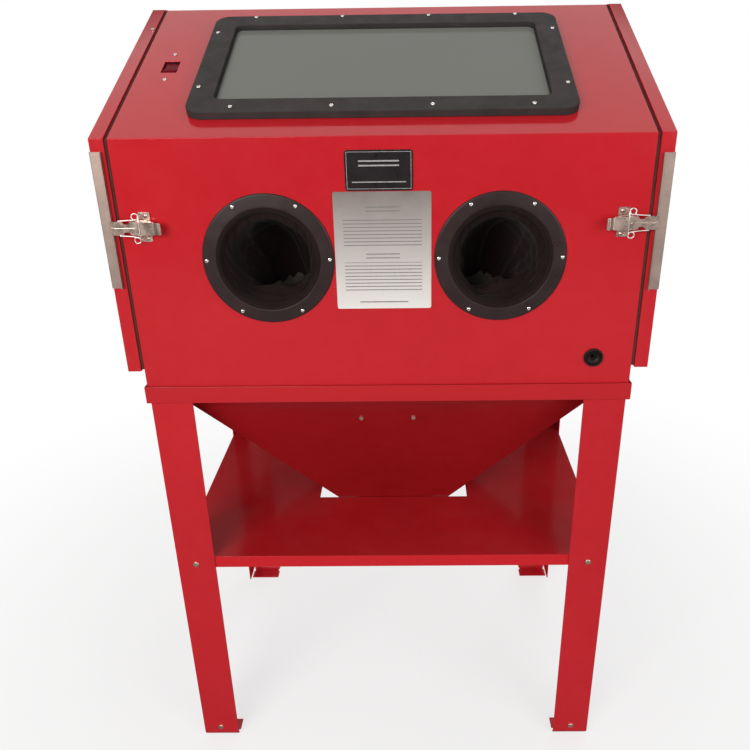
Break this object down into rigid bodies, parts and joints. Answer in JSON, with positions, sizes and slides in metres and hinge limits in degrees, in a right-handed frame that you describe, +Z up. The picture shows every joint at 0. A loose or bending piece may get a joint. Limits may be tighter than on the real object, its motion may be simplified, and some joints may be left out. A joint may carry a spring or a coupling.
{
  "type": "sandblast cabinet",
  "caption": "Floor-standing abrasive blast cabinet with a sloped window, gloved arm ports, hinged side doors, a media hopper with a slide gate, and a lower shelf.",
  "frame": {"origin": "on the floor, under the middle of the overall footprint", "axes": "+Z up, +Y towards the back of the cabinet, +X to the right of someone standing at the arm ports"},
  "size_m": [0.8562, 0.6024, 1.3852],
  "materials": {
    "red_paint": "glossy bright red powder coat",
    "zinc_plated_steel": "bright zinc plating, satin",
    "galvanised_sheet": "galvanised sheet, dull spangle",
    "black_coating": "satin black coating",
    "black_plastic": "moulded black plastic",
    "black_rubber": "matt black rubber and foam",
    "glove_fabric": "black rubber-coated cloth",
    "window_glass": "grey safety glass",
    "label_black": "blank black label plate",
    "label_grey": "blank pale grey label plate",
    "rocker_plastic": "dark red moulded plastic",
    "cast_alloy": "die-cast alloy, satin",
    "lamp_diffuser": "milky white plastic"
  },
  "bodies": {
    "cabinet": {"air_hose": "black_rubber", "air_inlet_coupler": "cast_alloy", "cabinet_shell": "red_paint", "cable_gland": "black_plastic", "exhaust_baffle": "galvanised_sheet", "exhaust_collar": "galvanised_sheet", "gate_frame": "galvanised_sheet", "grate_rail_front": "galvanised_sheet", "grate_rail_rear": "galvanised_sheet", "gun_body": "cast_alloy", "gun_hook": "zinc_plated_steel", "gun_nozzle": "zinc_plated_steel", "gun_trigger_pin": "zinc_plated_steel", "hopper": "red_paint", "hose_grommet": "black_rubber", "label_plate_lower": "label_grey", "label_plate_upper": "label_black", "lamp_housing": "galvanised_sheet", "lamp_tube": "lamp_diffuser", "left_door_hinge_lower_frame_leaf": "zinc_plated_steel", "left_door_hinge_upper_frame_leaf": "zinc_plated_steel", "left_glove": "glove_fabric", "left_latch_base": "zinc_plated_steel", "left_port_ring": "black_coating", "leg_front_left": "red_paint", "leg_front_right": "red_paint", "leg_rear_left": "red_paint", "leg_rear_right": "red_paint", "lower_shelf": "red_paint", "media_hose": "black_rubber", "media_pickup_tube": "zinc_plated_steel", "right_door_hinge_lower_frame_leaf": "zinc_plated_steel", "right_door_hinge_upper_frame_leaf": "zinc_plated_steel", "right_glove": "glove_fabric", "right_latch_base": "zinc_plated_steel", "right_port_ring": "black_coating", "switch_housing": "black_plastic", "window_frame": "black_coating", "window_gasket": "black_rubber", "window_glass": "window_glass", "work_grate": "galvanised_sheet"},
    "left_door_body": {"left_door": "red_paint", "left_door_seal": "black_rubber", "left_door_strip": "zinc_plated_steel", "left_door_hinge_lower_door_leaf": "zinc_plated_steel", "left_door_hinge_upper_door_leaf": "zinc_plated_steel"},
    "right_door_body": {"right_door": "red_paint", "right_door_seal": "black_rubber", "right_door_strip": "zinc_plated_steel", "right_door_hinge_lower_door_leaf": "zinc_plated_steel", "right_door_hinge_upper_door_leaf": "zinc_plated_steel"},
    "left_latch_lever_body": {"left_latch_lever": "zinc_plated_steel"},
    "left_latch_claw_body": {"left_latch_claw": "zinc_plated_steel"},
    "right_latch_lever_body": {"right_latch_lever": "zinc_plated_steel"},
    "right_latch_claw_body": {"right_latch_claw": "zinc_plated_steel"},
    "slide_gate_body": {"hopper_slide_gate": "galvanised_sheet"},
    "trigger_body": {"gun_trigger": "black_plastic"},
    "rocker_body": {"switch_rocker": "rocker_plastic"}
  },
  "joints": [
    {"name": "left_door_hinge", "type": "hinge", "parent": "cabinet", "child": "left_door_body", "pos_m": [-0.402, 0.2731, 1.1], "axis": [0, 0, -1], "range_deg": [0, 110]},
    {"name": "left_latch_lever_pivot", "type": "hinge", "parent": "cabinet", "child": "left_latch_lever_body", "pos_m": [-0.365, -0.2906, 1.073], "axis": [0, 0, -1], "range_deg": [0, 110]},
    {"name": "left_latch_claw_pivot", "type": "hinge", "parent": "left_latch_lever_body", "child": "left_latch_claw_body", "pos_m": [-0.355, -0.2926, 1.073], "axis": [0, 0, -1], "range_deg": [-125, 0]},
    {"name": "right_door_hinge", "type": "hinge", "parent": "cabinet", "child": "right_door_body", "pos_m": [0.402, 0.2731, 1.1], "axis": [0, 0, 1], "range_deg": [0, 110]},
    {"name": "right_latch_lever_pivot", "type": "hinge", "parent": "cabinet", "child": "right_latch_lever_body", "pos_m": [0.365, -0.2906, 1.073], "axis": [0, 0, 1], "range_deg": [0, 110]},
    {"name": "right_latch_claw_pivot", "type": "hinge", "parent": "right_latch_lever_body", "child": "right_latch_claw_body", "pos_m": [0.355, -0.2926, 1.073], "axis": [0, 0, 1], "range_deg": [-125, 0]},
    {"name": "slide_gate_travel", "type": "slide", "parent": "cabinet", "child": "slide_gate_body", "axis": [0, -1, 0], "range_m": [0, 0.1]},
    {"name": "gun_trigger_pivot", "type": "hinge", "parent": "cabinet", "child": "trigger_body", "pos_m": [0.04, 0.2199, 1.09], "axis": [0, -1, 0], "range_deg": [0, 18]},
    {"name": "switch_rocker_pivot", "type": "hinge", "parent": "cabinet", "child": "rocker_body", "pos_m": [-0.3502, -0.08497, 1.28587], "axis": [1, 0, 0], "range_deg": [0, 18]}
  ],
  "couplings": [
    {"joint": "left_latch_claw_pivot", "follows": "left_latch_lever_pivot", "ratio": -1.1364},
    {"joint": "right_latch_claw_pivot", "follows": "right_latch_lever_pivot", "ratio": -1.1364}
  ]
}
